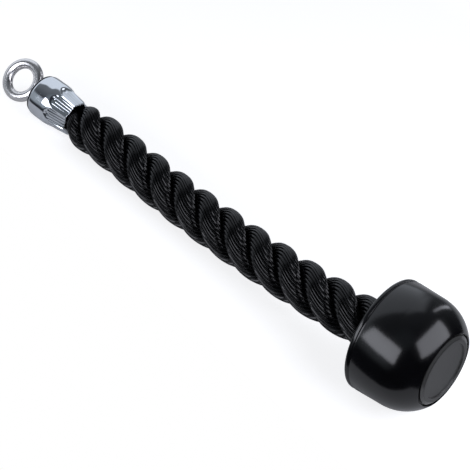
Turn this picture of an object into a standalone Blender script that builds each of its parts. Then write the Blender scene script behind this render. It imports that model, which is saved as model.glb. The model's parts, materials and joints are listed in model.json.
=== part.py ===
"""Single-grip triceps rope attachment, piece by piece as it comes apart on a bench.

A swivelling eye is riveted into the top of a drawn steel ferrule. The ferrule is crimped on one
end of a three-strand rope with a right-hand lay. The rope's other end passes through a rubber
ball, where a pressed sleeve and a washer stop it behind a snap-in end disc.

Metres, +Z up. The rope runs along +X from the eye to the ball and lies as it comes to rest on a
floor: the ball's rim and the rope's belly touch z = 0. The origin is on the floor, below the
middle of the whole part's box.
"""
import math

import bmesh
import bpy
from mathutils import Matrix, Vector

# Rope: size, lay and the bow that it has taken
ROPE_DIAMETER = 0.0270
ROPE_FREE_LENGTH = 0.2318
ROPE_LAY_LENGTH = 0.0586
STRAND_DEPTH = 0.0125
STRAND_GAP = 0.0004
STRAND_COUNT = 3
ROPE_BOW_TURN = math.radians(15.3)
STRAND_START_TURN = math.radians(29.6)
BALL_CANT = math.radians(-2.2)
BALL_CANT_LENGTH = 0.0400

# Rope: how it swells out of the ferrule and narrows into the ball
SWELL_LENGTH = 0.0130
ROPE_GRIPPED_DIAMETER = 0.0256
ROPE_SLEEVED_DIAMETER = 0.0244
GRIP_EASE_LENGTH = 0.0080
ROPE_PAST_SLEEVE = 0.0015

# Ferrule: a drawn cup with eight crimped flats
FERRULE_LENGTH = 0.0301
FERRULE_DIAMETER = 0.0263
FERRULE_MOUTH_DIAMETER = 0.0216
FERRULE_WALL = 0.0010
FERRULE_TOP_WALL = 0.0022
FERRULE_CORNER = 0.0046
CRIMP_FLATS = 8
CRIMP_LENGTH = 0.0178
CRIMP_DEPTH = 0.0008
CRIMP_REACH = 0.0114
CRIMP_ARCH = 0.0038
CRIMP_RAMP = 0.0018
CRIMP_TURN = math.radians(18.0)
FERRULE_CANT = math.radians(3.8)
FERRULE_SWING = math.radians(3.3)
FERRULE_CANT_LENGTH = 0.0490

# Swivel eye: ring, neck, collar and riveted shank
EYE_DIAMETER = 0.0269
EYE_BAR_WIDTH = 0.0061
EYE_BAR_THICKNESS = 0.0060
EYE_NECK_LENGTH = 0.0008
EYE_COLLAR_DIAMETER = 0.0106
EYE_COLLAR_THICKNESS = 0.0010
EYE_SHANK_DIAMETER = 0.0078
EYE_HEAD_DIAMETER = 0.0125
EYE_HEAD_THICKNESS = 0.0028
EYE_HEAD_CROWN = 0.0008
EYE_TURN = math.radians(48.7)
EYE_WASHER_DIAMETER = 0.0160
EYE_WASHER_THICKNESS = 0.0014

# Rubber ball: outer form
BALL_DIAMETER = 0.0626
BALL_LENGTH = 0.0391
BALL_TAPER = math.radians(2.1)
BALL_SIDE_LENGTH = 0.0248
SHOULDER_POWER = 1.50
BEAD_WIDTH = 0.0036
BEAD_RADIUS = 0.0017
BEAD_END_ANGLE = 50.0
BEAD_GROOVE_WIDTH = 0.0007
BEAD_GROOVE_DEPTH = 0.0004
BORE_EDGE_RADIUS = 0.0012
END_LIP_WIDTH = 0.0005

# Rubber ball: cavity behind the end disc, and what is in it
BALL_WEB = 0.0135
CAVITY_DIAMETER = 0.0350
THRUST_WASHER_THICKNESS = 0.0020
SLEEVE_WALL = 0.0020
SLEEVE_LENGTH = 0.0120
SLEEVE_PRESS_DEPTH = 0.0005
SLEEVE_PRESSES = 6
DISC_DIAMETER = 0.0396
DISC_THICKNESS = 0.0032
DISC_BEVEL_WIDTH = 0.0020
DISC_BEVEL_DROP = 0.0008
DISC_SKIRT_LENGTH = 0.0030
DISC_SKIRT_WALL = 0.0014
DISC_GROOVE = 0.0004

# Fits and edges
CLEARANCE = 0.0003
EDGE_RADIUS = 0.0004
MERGE_DISTANCE = 0.000001
SMOOTH_BELOW = math.radians(40.0)
STRAND_SMOOTH_BELOW = math.radians(60.0)

# Mesh steps
STEPS_PER_LAY = 16
SECTION_TURN_SHARES = (0.0, 0.16, 0.31, 0.46, 0.62, 0.80)
COLUMNS_PER_FLAT = 6
BARREL_STEPS = 14
BORE_STEPS = 9
CORNER_STEPS = 4
EDGE_STEPS = 2
SHOULDER_STEPS = 8
CENTRELINE_STEPS = 400
BALL_SIDES = 44
PLAIN_SIDES = 28
RING_SIDES = 36
BAR_SIDES = 12
REST_PLACES = 20
REST_ROUNDS = 40

ROPE_RADIUS = ROPE_DIAMETER / 2
STRAND_SHARE = STRAND_DEPTH / ROPE_DIAMETER
FERRULE_RADIUS = FERRULE_DIAMETER / 2
MOUTH_RADIUS = FERRULE_MOUTH_DIAMETER / 2
BALL_RADIUS = BALL_DIAMETER / 2
DISC_RADIUS = DISC_DIAMETER / 2
CAVITY_RADIUS = CAVITY_DIAMETER / 2
GRIPPED_RADIUS = ROPE_GRIPPED_DIAMETER / 2
SLEEVED_RADIUS = ROPE_SLEEVED_DIAMETER / 2
BORE_RADIUS = GRIPPED_RADIUS + CLEARANCE

# Places along the ferrule, measured from its mouth towards the eye
FERRULE_INNER_TOP = FERRULE_LENGTH - FERRULE_TOP_WALL
EYE_WASHER_FROM = FERRULE_INNER_TOP - CLEARANCE - EYE_WASHER_THICKNESS
EYE_HEAD_FROM = EYE_WASHER_FROM - CLEARANCE - EYE_HEAD_THICKNESS
ROPE_IN_FERRULE = EYE_HEAD_FROM - EYE_HEAD_CROWN - CLEARANCE
COLLAR_FROM = FERRULE_LENGTH + CLEARANCE
RING_CENTRE = COLLAR_FROM + EYE_COLLAR_THICKNESS + EYE_NECK_LENGTH + EYE_DIAMETER / 2

# Places along the ball, measured from its rope-side face
WASHER_FROM = BALL_WEB + CLEARANCE
SLEEVE_FROM = WASHER_FROM + THRUST_WASHER_THICKNESS + CLEARANCE
ROPE_IN_BALL = SLEEVE_FROM + SLEEVE_LENGTH + ROPE_PAST_SLEEVE
DISC_FROM = BALL_LENGTH - DISC_THICKNESS


def ease(share):
    """Smooth step from zero to one."""
    share = min(max(share, 0.0), 1.0)
    return share * share * (3.0 - 2.0 * share)


def blend(start, end, share):
    """Value part of the way from start to end."""
    return start + (end - start) * share


# Rope centreline

def heading(along):
    """Rotation of the rope's axis at a distance from the ferrule's mouth, X being along it.

    The rope bows evenly in a vertical plane. Its stiff ends cant a little where the ferrule and
    the ball start, and inside them it is straight.
    """
    on_rope = min(max(along, 0.0), ROPE_FREE_LENGTH)
    at_ferrule = max(0.0, 1.0 - on_rope / FERRULE_CANT_LENGTH)
    at_ball = max(0.0, 1.0 - (ROPE_FREE_LENGTH - on_rope) / BALL_CANT_LENGTH) ** 2
    rise = ROPE_BOW_TURN * (on_rope / ROPE_FREE_LENGTH - 0.5)
    rise += FERRULE_CANT * at_ferrule + BALL_CANT * at_ball
    swing = FERRULE_SWING * at_ferrule
    return Matrix.Rotation(swing, 4, "Z") @ Matrix.Rotation(-rise, 4, "Y")


def walk_centreline():
    """Points of the axis from the mouth to the ball, at even steps of length."""
    step = ROPE_FREE_LENGTH / CENTRELINE_STEPS
    points = [Vector((0.0, 0.0, 0.0))]
    for index in range(CENTRELINE_STEPS):
        points.append(points[-1] + heading((index + 0.5) * step) @ Vector((step, 0.0, 0.0)))
    return points


CENTRELINE = walk_centreline()


def axis_frame(along):
    """Matrix at a distance along the rope: X along the axis, Y across the plane of bow."""
    turned_axis = heading(along)
    on_rope = min(max(along, 0.0), ROPE_FREE_LENGTH)
    place = on_rope / ROPE_FREE_LENGTH * CENTRELINE_STEPS
    index = min(int(place), CENTRELINE_STEPS - 1)
    point = CENTRELINE[index].lerp(CENTRELINE[index + 1], place - index)
    point = point + turned_axis @ Vector((along - on_rope, 0.0, 0.0))
    return Matrix.Translation(point) @ turned_axis


# Ferrule form, which the rope inside it follows

def off_flat(angle):
    """Distance from a crimped flat's middle: zero there and one on the ridge beside it."""
    share = angle * CRIMP_FLATS / math.tau % 1.0
    return abs(2.0 * share - 1.0)


def ferrule_radius(along, off):
    """Outer radius of the ferrule's barrel, at a distance from its mouth and from a flat."""
    round_radius = blend(MOUTH_RADIUS, FERRULE_RADIUS, ease(along / CRIMP_LENGTH))
    crimp_end = CRIMP_REACH + CRIMP_ARCH * (1.0 - off * off)
    pressed = 1.0 - ease((along - crimp_end + CRIMP_RAMP) / CRIMP_RAMP)
    return round_radius - CRIMP_DEPTH * pressed * (1.0 - off ** 4)


def rope_radius(along):
    """Radius of the rope's envelope, squeezed where the ferrule, ball and sleeve hold it."""
    in_ball = along - ROPE_FREE_LENGTH
    if along <= 0.0:
        return ferrule_radius(-along, 0.0) - FERRULE_WALL - CLEARANCE
    if in_ball >= SLEEVE_FROM:
        return SLEEVED_RADIUS
    if in_ball >= 0.0:
        narrowing = ease((in_ball - BALL_WEB + GRIP_EASE_LENGTH) / GRIP_EASE_LENGTH)
        return blend(GRIPPED_RADIUS, SLEEVED_RADIUS, narrowing)
    mouth = ferrule_radius(0.0, 0.0) - FERRULE_WALL - CLEARANCE
    out_of_ferrule = math.sin(min(along / SWELL_LENGTH, 1.0) * math.pi / 2)
    into_ball = ease((in_ball + GRIP_EASE_LENGTH) / GRIP_EASE_LENGTH)
    return blend(blend(mouth, ROPE_RADIUS, out_of_ferrule), GRIPPED_RADIUS, into_ball)


def strand_section(radius):
    """Outline of one strand in a plane across the rope, as (outward, sideways) points.

    A strand is round across its own run, so the plane across the rope cuts it as an ellipse that
    is wider sideways. Its two neighbours flatten it along the walls of its share of the circle.
    """
    half_depth = radius * STRAND_SHARE
    centre = radius - half_depth
    lay_angle = math.atan(math.tau * centre / ROPE_LAY_LENGTH)
    half_width = half_depth / math.cos(lay_angle)
    wall_angle = math.pi / STRAND_COUNT
    wall = centre * math.sin(wall_angle) - STRAND_GAP / 2
    turns = [math.pi * share for share in SECTION_TURN_SHARES]
    turns += [math.pi] + [math.tau - turn for turn in reversed(turns[1:])]
    points = []
    for turn in turns:
        outward, sideways = math.cos(turn), math.sin(turn)
        reach = 1.0 / math.hypot(outward / half_depth, sideways / half_width)
        to_wall = abs(sideways) * math.cos(wall_angle) - outward * math.sin(wall_angle)
        if to_wall > 0.0:
            reach = min(reach, wall / to_wall)
        points.append((centre + reach * outward, reach * sideways))
    return points


# Mesh making

def make_material(name, colour, roughness, metallic):
    """Principled material with one colour."""
    material = bpy.data.materials.new(name)
    material.use_nodes = True
    shader = material.node_tree.nodes["Principled BSDF"]
    shader.inputs["Base Color"].default_value = (*colour, 1.0)
    shader.inputs["Roughness"].default_value = roughness
    shader.inputs["Metallic"].default_value = metallic
    material.diffuse_color = (*colour, 1.0)
    return material


def finish_mesh(name, mesh_data, material, parent, sharp_angle=SMOOTH_BELOW):
    """Closes a bmesh into an object with one material, smooth but for its edges."""
    bmesh.ops.remove_doubles(mesh_data, verts=mesh_data.verts, dist=MERGE_DISTANCE)
    bmesh.ops.recalc_face_normals(mesh_data, faces=mesh_data.faces)
    mesh = bpy.data.meshes.new(name)
    mesh_data.to_mesh(mesh)
    mesh_data.free()
    mesh.materials.append(material)
    mesh.shade_smooth()
    mesh.set_sharp_from_angle(angle=sharp_angle)
    thing = bpy.data.objects.new(name, mesh)
    bpy.context.scene.collection.objects.link(thing)
    thing.parent = parent
    return thing


def make_empty(name, parent, placed):
    """Empty that carries pieces, placed by a matrix under its parent."""
    empty = bpy.data.objects.new(name, None)
    bpy.context.scene.collection.objects.link(empty)
    empty.parent = parent
    empty.matrix_local = placed
    return empty


def fillet(centre, radius, start, end, steps=CORNER_STEPS):
    """Arc points (along, radius) round a centre, from one angle to another in degrees."""
    angles = [math.radians(blend(start, end, step / steps)) for step in range(steps + 1)]
    return [(centre[0] + radius * math.cos(a), centre[1] + radius * math.sin(a)) for a in angles]


def lathe(name, outline_at, sides, material, parent):
    """Closed solid round the X axis, whose outline (along, radius) may change with the angle."""
    mesh_data = bmesh.new()
    columns = []
    for side in range(sides):
        angle = math.tau * side / sides
        across = Vector((0.0, math.cos(angle), math.sin(angle)))
        points = [Vector((along, 0.0, 0.0)) + radius * across for along, radius in outline_at(angle)]
        columns.append([mesh_data.verts.new(point) for point in points])
    for column, following in zip(columns, columns[1:] + columns[:1]):
        for low, high in zip(range(len(column)), [*range(1, len(column)), 0]):
            corners = (column[low], column[high], following[high], following[low])
            mesh_data.faces.new(corners)
    return finish_mesh(name, mesh_data, material, parent)


def turned(name, outline, sides, material, parent):
    """Solid of revolution round the X axis from a closed outline of (along, radius) points."""
    mesh_data = bmesh.new()
    corners = [mesh_data.verts.new((along, radius, 0.0)) for along, radius in outline]
    edges = []
    for first, second in zip(corners, corners[1:] + corners[:1]):
        on_axis = first.co.y == 0.0 and second.co.y == 0.0
        if not on_axis:
            edges.append(mesh_data.edges.new((first, second)))
    bmesh.ops.spin(mesh_data, geom=corners + edges, cent=(0.0, 0.0, 0.0), axis=(1.0, 0.0, 0.0),
                   angle=math.tau, steps=sides, use_merge=True)
    return finish_mesh(name, mesh_data, material, parent)


# Pieces

def strand_places():
    """Places of a strand's cross sections, with one at the ferrule's mouth and at the ball."""
    bounds = (-ROPE_IN_FERRULE, 0.0, ROPE_FREE_LENGTH, ROPE_FREE_LENGTH + ROPE_IN_BALL)
    places = [bounds[0]]
    for start, end in zip(bounds, bounds[1:]):
        count = math.ceil((end - start) / ROPE_LAY_LENGTH * STEPS_PER_LAY)
        places += [blend(start, end, step / count) for step in range(1, count + 1)]
    return places


def make_strand(index, material, parent):
    """One strand of the rope, swept in planes across the axis so that it never meets another."""
    mesh_data = bmesh.new()
    rings = []
    for along in strand_places():
        turn = STRAND_START_TURN + math.tau * (along / ROPE_LAY_LENGTH + index / STRAND_COUNT)
        plane = axis_frame(along) @ Matrix.Rotation(turn, 4, "X")
        section = strand_section(rope_radius(along))
        rings.append([mesh_data.verts.new(plane @ Vector((0.0, *point))) for point in section])
    for ring, following in zip(rings, rings[1:]):
        for low in range(len(ring)):
            high = (low + 1) % len(ring)
            # Facing walls of two neighbours are split along the same diagonal
            if low < len(ring) // 2:
                mesh_data.faces.new((ring[low], ring[high], following[high]))
                mesh_data.faces.new((ring[low], following[high], following[low]))
            else:
                mesh_data.faces.new((ring[low], ring[high], following[low]))
                mesh_data.faces.new((ring[high], following[high], following[low]))
    mesh_data.faces.new(rings[0])
    mesh_data.faces.new(rings[-1])
    name = f"rope_strand_{index + 1}"
    return finish_mesh(name, mesh_data, material, parent, STRAND_SMOOTH_BELOW)


def make_ferrule(material, parent):
    """Drawn cup with eight crimped flats, each ending in an arch below the smooth dome."""
    barrel_end = FERRULE_LENGTH - FERRULE_CORNER
    inner_corner = FERRULE_CORNER - FERRULE_WALL
    hole = EYE_SHANK_DIAMETER / 2 + CLEARANCE
    barrel = [barrel_end * step / BARREL_STEPS for step in range(BARREL_STEPS + 1)]
    inner_end = FERRULE_INNER_TOP - inner_corner
    inside = [inner_end * step / BORE_STEPS for step in range(BORE_STEPS + 1)]

    def outline_at(angle):
        off = off_flat(angle)
        outer = [(-along, ferrule_radius(along, off)) for along in barrel]
        corner = fillet((-barrel_end, FERRULE_RADIUS - FERRULE_CORNER), FERRULE_CORNER, 90.0, 180.0)
        top = [(-FERRULE_LENGTH, hole), (-FERRULE_INNER_TOP, hole)]
        inner_centre = (-inner_end, FERRULE_RADIUS - FERRULE_WALL - inner_corner)
        inner_fillet = fillet(inner_centre, inner_corner, 180.0, 90.0)
        bore = [(-along, ferrule_radius(along, off) - FERRULE_WALL) for along in reversed(inside)]
        return outer + corner[1:] + top + inner_fillet + bore[1:]

    return lathe("ferrule", outline_at, CRIMP_FLATS * COLUMNS_PER_FLAT, material, parent)


def make_eye(material, parent):
    """Ring, neck, collar and shank in one, with its end riveted over inside the ferrule.

    The ring lies in the local XY plane, and the X axis is the swivel's.
    """
    bar = (EYE_BAR_WIDTH / 2, EYE_BAR_THICKNESS / 2)
    ring_radius = EYE_DIAMETER / 2 - bar[0]
    mesh_data = bmesh.new()
    section = []
    for step in range(BAR_SIDES):
        angle = math.tau * step / BAR_SIDES
        out, up = bar[0] * math.cos(angle), bar[1] * math.sin(angle)
        section.append(mesh_data.verts.new((ring_radius + out, 0.0, up)))
    edges = [mesh_data.edges.new(pair) for pair in zip(section, section[1:] + section[:1])]
    bmesh.ops.spin(mesh_data, geom=section + edges, cent=(0.0, 0.0, 0.0), axis=(0.0, 0.0, 1.0),
                   angle=math.tau, steps=RING_SIDES, use_merge=True)
    bmesh.ops.translate(mesh_data, verts=mesh_data.verts, vec=(-RING_CENTRE, 0.0, 0.0))
    eye = finish_mesh("swivel_eye", mesh_data, material, parent)

    shank = EYE_SHANK_DIAMETER / 2
    collar = EYE_COLLAR_DIAMETER / 2
    head = EYE_HEAD_DIAMETER / 2
    collar_top = COLLAR_FROM + EYE_COLLAR_THICKNESS
    neck_top = collar_top + EYE_NECK_LENGTH
    head_end = EYE_HEAD_FROM - EYE_HEAD_CROWN
    outline = [(-neck_top - bar[0], 0.0), (-neck_top - bar[0], bar[1] / 2), (-neck_top, bar[1]),
               (-collar_top, collar - EDGE_RADIUS),
               (-collar_top + EDGE_RADIUS, collar), (-COLLAR_FROM, collar),
               (-COLLAR_FROM, shank), (-EYE_WASHER_FROM + CLEARANCE, shank),
               (-EYE_WASHER_FROM + CLEARANCE, head), (-EYE_HEAD_FROM - EDGE_RADIUS, head),
               (-EYE_HEAD_FROM, head - EDGE_RADIUS), (-head_end, head / 2), (-head_end, 0.0)]
    stem = turned("eye_stem_tool", outline, PLAIN_SIDES, material, parent)
    stem.hide_render = True
    stem.display_type = "WIRE"
    join = eye.modifiers.new("stem", "BOOLEAN")
    join.operation = "UNION"
    join.solver = "EXACT"
    join.object = stem
    return eye


def ring_outline(start, end, inner, outer, edge=EDGE_RADIUS):
    """Rectangle outline of a turned ring, with its outer edges broken."""
    return [(start, inner), (start, outer - edge), (start + edge, outer),
            (end - edge, outer), (end, outer - edge), (end, inner)]


def make_eye_washer(material, parent):
    """Washer that spreads the rivet head's pull over the ferrule's top."""
    inner = EYE_SHANK_DIAMETER / 2 + CLEARANCE
    start, end = -EYE_WASHER_FROM - EYE_WASHER_THICKNESS, -EYE_WASHER_FROM
    outline = ring_outline(start, end, inner, EYE_WASHER_DIAMETER / 2)
    return turned("eye_washer", outline, PLAIN_SIDES, material, parent)


def make_ball(material, parent):
    """Rubber ball: beaded rope-side rim, tapering side, sloping shoulder, bore and cavity."""
    edge = BORE_EDGE_RADIUS
    groove_end = BEAD_WIDTH + BEAD_GROOVE_WIDTH
    shoulder_radius = BALL_RADIUS - (BALL_SIDE_LENGTH - groove_end) * math.tan(BALL_TAPER)
    seat = DISC_RADIUS + DISC_GROOVE
    lip = seat + END_LIP_WIDTH
    bead_rear = BEAD_WIDTH - BEAD_RADIUS

    bore_edge = fillet((edge, BORE_RADIUS + edge), edge, 270.0, 180.0, EDGE_STEPS)
    bead = fillet((BEAD_RADIUS, BALL_RADIUS - BEAD_RADIUS), BEAD_RADIUS, 180.0, 90.0)
    bead += fillet((bead_rear, BALL_RADIUS - BEAD_RADIUS), BEAD_RADIUS, 90.0, BEAD_END_ANGLE,
                   EDGE_STEPS)
    side = [(BEAD_WIDTH, BALL_RADIUS - BEAD_GROOVE_DEPTH), (groove_end, BALL_RADIUS)]
    shoulder = []
    shoulder_length = BALL_LENGTH - BALL_SIDE_LENGTH
    for step in range(SHOULDER_STEPS + 1):
        angle = math.pi / 2 * step / SHOULDER_STEPS
        along = BALL_SIDE_LENGTH + shoulder_length * math.sin(angle) ** SHOULDER_POWER
        inward = max(0.0, math.cos(angle)) ** SHOULDER_POWER
        shoulder.append((along, blend(lip, shoulder_radius, inward)))
    disc_seat = [(BALL_LENGTH - EDGE_RADIUS, seat), (DISC_FROM - CLEARANCE, seat)]
    cavity = [(DISC_FROM - CLEARANCE, CAVITY_RADIUS), (BALL_WEB, CAVITY_RADIUS)]
    outline = bore_edge + bead + side + shoulder + disc_seat + cavity + [(BALL_WEB, BORE_RADIUS)]
    return turned("rubber_ball", outline, BALL_SIDES, material, parent)


def make_thrust_washer(material, parent):
    """Washer on the ball's inner web, which the sleeve pulls against."""
    inner = SLEEVED_RADIUS + CLEARANCE
    end = WASHER_FROM + THRUST_WASHER_THICKNESS
    outline = ring_outline(WASHER_FROM, end, inner, CAVITY_RADIUS - CLEARANCE)
    return turned("thrust_washer", outline, PLAIN_SIDES, material, parent)


def make_sleeve(material, parent):
    """Steel sleeve pressed on the rope's end at six places."""
    inner = SLEEVED_RADIUS + CLEARANCE
    outer = inner + SLEEVE_WALL
    end = SLEEVE_FROM + SLEEVE_LENGTH
    pressed_share = (0.25, 0.75)

    def outline_at(angle):
        dip = SLEEVE_PRESS_DEPTH * max(0.0, math.cos(angle * SLEEVE_PRESSES))
        first, second = (blend(SLEEVE_FROM, end, share) for share in pressed_share)
        return [(SLEEVE_FROM, inner), (SLEEVE_FROM, outer - EDGE_RADIUS),
                (SLEEVE_FROM + EDGE_RADIUS, outer), (first, outer - dip), (second, outer - dip),
                (end - EDGE_RADIUS, outer), (end, outer - EDGE_RADIUS), (end, inner)]

    return lathe("rope_sleeve", outline_at, SLEEVE_PRESSES * COLUMNS_PER_FLAT, material, parent)


def make_end_disc(material, parent):
    """Plastic disc that closes the ball, with a bevelled rim and a plug skirt."""
    flat = DISC_RADIUS - DISC_BEVEL_WIDTH
    skirt = CAVITY_RADIUS - CLEARANCE
    skirt_inner = skirt - DISC_SKIRT_WALL
    skirt_end = DISC_FROM - DISC_SKIRT_LENGTH
    outline = [(DISC_FROM, 0.0), (DISC_FROM, skirt_inner), (skirt_end, skirt_inner),
               (skirt_end, skirt - EDGE_RADIUS), (skirt_end + EDGE_RADIUS, skirt),
               (DISC_FROM, skirt), (DISC_FROM, DISC_RADIUS)]
    # Bevel as a quarter of an ellipse from the rim up to the flat face
    for step in range(CORNER_STEPS + 1):
        angle = math.pi / 2 * step / CORNER_STEPS
        radius = flat + DISC_BEVEL_WIDTH * math.cos(angle)
        along = BALL_LENGTH - DISC_BEVEL_DROP * (1.0 - math.sin(angle))
        outline.append((along, radius))
    outline.append((BALL_LENGTH, 0.0))
    return turned("end_disc", outline, BALL_SIDES, material, parent)


# Rest on the floor

def lowest_of_circle(pose, along, offset, radius):
    """Height of the lowest point of a circle round the axis, offset along it, in a pose."""
    plane = pose @ axis_frame(along) @ Matrix.Translation((offset, 0.0, 0.0))
    direction = plane.to_3x3() @ Vector((1.0, 0.0, 0.0))
    return plane.translation.z - radius * math.sqrt(max(0.0, 1.0 - direction.z ** 2))


def rest_pose():
    """Rotation that brings the ball's rim and the rope's lowest place to one height.

    The bow hangs straight down, where the whole lies steady, and the ball's size lifts its own
    end. The pitch is found by halving.
    """
    places = [ROPE_FREE_LENGTH * step / REST_PLACES for step in range(1, REST_PLACES)]
    low, high = 0.0, ROPE_BOW_TURN
    for _ in range(REST_ROUNDS):
        pitch = (low + high) / 2
        pose = Matrix.Rotation(-pitch, 4, "Y")
        ball = lowest_of_circle(pose, ROPE_FREE_LENGTH, BEAD_RADIUS, BALL_RADIUS)
        rope = min(lowest_of_circle(pose, along, 0.0, rope_radius(along)) for along in places)
        low, high = (pitch, high) if ball < rope else (low, pitch)
    return pose


def stand_on_floor(root):
    """Moves the whole so that its box stands on z = 0 with its middle over the origin."""
    bpy.context.view_layer.update()
    view = bpy.context.evaluated_depsgraph_get()
    corners = []
    for thing in bpy.context.scene.objects:
        if thing.type == "MESH" and not thing.hide_render:
            seen = thing.evaluated_get(view)
            corners += [thing.matrix_world @ vertex.co for vertex in seen.data.vertices]
    low = [min(corner[axis] for corner in corners) for axis in range(3)]
    high = [max(corner[axis] for corner in corners) for axis in range(3)]
    middle = Vector(((low[0] + high[0]) / 2, (low[1] + high[1]) / 2, low[2]))
    root.matrix_world = Matrix.Translation(-middle) @ root.matrix_world
    bpy.context.view_layer.update()


def main():
    """Clears the scene and builds the attachment."""
    for thing in list(bpy.data.objects):
        bpy.data.objects.remove(thing, do_unlink=True)

    nylon = make_material("black_nylon", (0.010, 0.010, 0.012), 0.60, 0.0)
    rubber = make_material("black_rubber", (0.012, 0.012, 0.014), 0.32, 0.0)
    plastic = make_material("grey_plastic", (0.070, 0.070, 0.072), 0.45, 0.0)
    chrome = make_material("chrome_plate", (0.78, 0.80, 0.83), 0.12, 1.0)
    steel = make_material("plain_steel", (0.50, 0.50, 0.50), 0.38, 1.0)

    root = make_empty("attachment", None, rest_pose())
    ferrule_axis = make_empty("ferrule_axis", root, axis_frame(0.0))
    swivel = make_empty("eye_swivel", ferrule_axis, Matrix.Rotation(EYE_TURN, 4, "X"))
    crimps = make_empty("crimps", ferrule_axis, Matrix.Rotation(CRIMP_TURN, 4, "X"))
    ball_axis = make_empty("ball_axis", root, axis_frame(ROPE_FREE_LENGTH))

    make_eye(chrome, swivel)
    make_eye_washer(steel, ferrule_axis)
    make_ferrule(chrome, crimps)
    for index in range(STRAND_COUNT):
        make_strand(index, nylon, root)
    make_ball(rubber, ball_axis)
    make_thrust_washer(steel, ball_axis)
    make_sleeve(steel, ball_axis)
    make_end_disc(plastic, ball_axis)
    stand_on_floor(root)


main()
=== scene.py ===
"""Single-grip triceps rope attachment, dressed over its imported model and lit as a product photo.

The chrome eye and ferrule, the three-strand rope with its yarns, the rubber ball and its end disc
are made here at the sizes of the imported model, on the rope's own axis. Metres, +Z up.
"""
import json
import logging
import math
from dataclasses import dataclass, field
from enum import Enum
from typing import Callable

import bmesh
import bpy
from mathutils import Matrix, Vector


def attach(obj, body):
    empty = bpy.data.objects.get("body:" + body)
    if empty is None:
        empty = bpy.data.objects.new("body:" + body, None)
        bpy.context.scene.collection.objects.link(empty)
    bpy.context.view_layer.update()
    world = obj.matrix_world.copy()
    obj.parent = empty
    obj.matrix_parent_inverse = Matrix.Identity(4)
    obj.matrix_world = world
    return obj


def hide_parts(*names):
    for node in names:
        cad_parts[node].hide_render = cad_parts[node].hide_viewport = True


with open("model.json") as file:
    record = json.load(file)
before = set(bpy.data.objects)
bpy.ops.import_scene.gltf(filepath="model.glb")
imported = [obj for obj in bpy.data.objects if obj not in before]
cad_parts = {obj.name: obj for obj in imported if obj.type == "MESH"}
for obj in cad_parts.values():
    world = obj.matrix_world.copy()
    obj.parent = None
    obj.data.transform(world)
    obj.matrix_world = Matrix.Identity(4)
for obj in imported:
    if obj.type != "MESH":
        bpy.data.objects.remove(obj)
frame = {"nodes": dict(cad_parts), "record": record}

LOG = logging.getLogger("rope_attachment")
MM = 0.001
PHOTO_WIDTH = 470
WHITE = "#ffffff"
YARN_MAP = "yarn"
SHARP_ANGLE = 40.0
MERGE_DISTANCE = 0.001 * MM
# Socket numbers of a mix node that mixes colours.
MIX_BASE, MIX_OVER, MIX_RESULT = 6, 7, 2

Outline = list[tuple[float, float]]
Colour = tuple[float, float, float, float]
Triple = tuple[float, float, float]
Values = dict[str | int, object]
Pieces = list[bpy.types.Object]


class Body(Enum):
    """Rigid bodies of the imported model."""

    HANDLE = "handle"
    EYE = "eye"


class Slot(Enum):
    """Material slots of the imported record."""

    CHROME = "chrome"
    NYLON = "black_nylon"
    RUBBER = "black_rubber"
    PLASTIC = "grey_plastic"


def linear(code: str) -> Colour:
    """Turns an sRGB hex colour into linear values.

    Args:
        code: Colour such as "#1a1b1e".

    Returns:
        Linear red, green and blue with an alpha of one.
    """
    channels = [int(code[start:start + 2], 16) / 255 for start in (1, 3, 5)]
    curved = [c / 12.92 if c <= 0.04045 else ((c + 0.055) / 1.055) ** 2.4 for c in channels]
    return (*curved, 1.0)


def ease(share: float) -> float:
    """Smooth step from zero to one.

    Args:
        share: Share of the way, which may run past either end.

    Returns:
        The eased share.
    """
    share = min(max(share, 0.0), 1.0)
    return share * share * (3.0 - 2.0 * share)


def blend(start: float, end: float, share: float) -> float:
    """Value part of the way between two others.

    Args:
        start: Value at share zero.
        end: Value at share one.
        share: Share of the way.

    Returns:
        The value.
    """
    return start + (end - start) * share


def arc(centre: tuple[float, float], radius: float, start: float, end: float, steps: int) -> Outline:
    """Points of an arc in an outline.

    Args:
        centre: Centre as (along, radius).
        radius: Radius of the arc.
        start: First angle in degrees, from the axis's direction towards growing radius.
        end: Last angle in degrees.
        steps: Number of equal steps.

    Returns:
        The arc's points as (along, radius).
    """
    angles = [math.radians(blend(start, end, step / steps)) for step in range(steps + 1)]
    return [(centre[0] + radius * math.cos(a), centre[1] + radius * math.sin(a)) for a in angles]


def fill(tree: bpy.types.NodeTree, node: bpy.types.Node, values: Values) -> None:
    """Gives a shader node its settings, constants and links.

    Args:
        tree: Node tree that holds the node.
        node: The node.
        values: Settings by property name, and constants or output sockets by input name or number.
    """
    for name, value in values.items():
        if isinstance(value, bpy.types.NodeSocket):
            tree.links.new(value, node.inputs[name])
        elif isinstance(name, str) and hasattr(node, name):
            setattr(node, name, value)
        else:
            node.inputs[name].default_value = value


def add_node(tree: bpy.types.NodeTree, kind: str, values: Values | None = None) -> bpy.types.Node:
    """Adds one shader node with its settings and links.

    Args:
        tree: Node tree that gets the node.
        kind: Blender's type name of the node.
        values: What fill gives it.

    Returns:
        The new node.
    """
    made = tree.nodes.new(kind)
    fill(tree, made, values or {})
    return made


def start_material(name: str) -> tuple[bpy.types.Material, bpy.types.NodeTree, bpy.types.Node]:
    """Starts a material on a Principled shader.

    Args:
        name: Name of the material.

    Returns:
        The material, its node tree and its shader.
    """
    material = bpy.data.materials.new(name)
    material.use_nodes = True
    tree = material.node_tree
    return material, tree, tree.nodes["Principled BSDF"]


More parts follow.
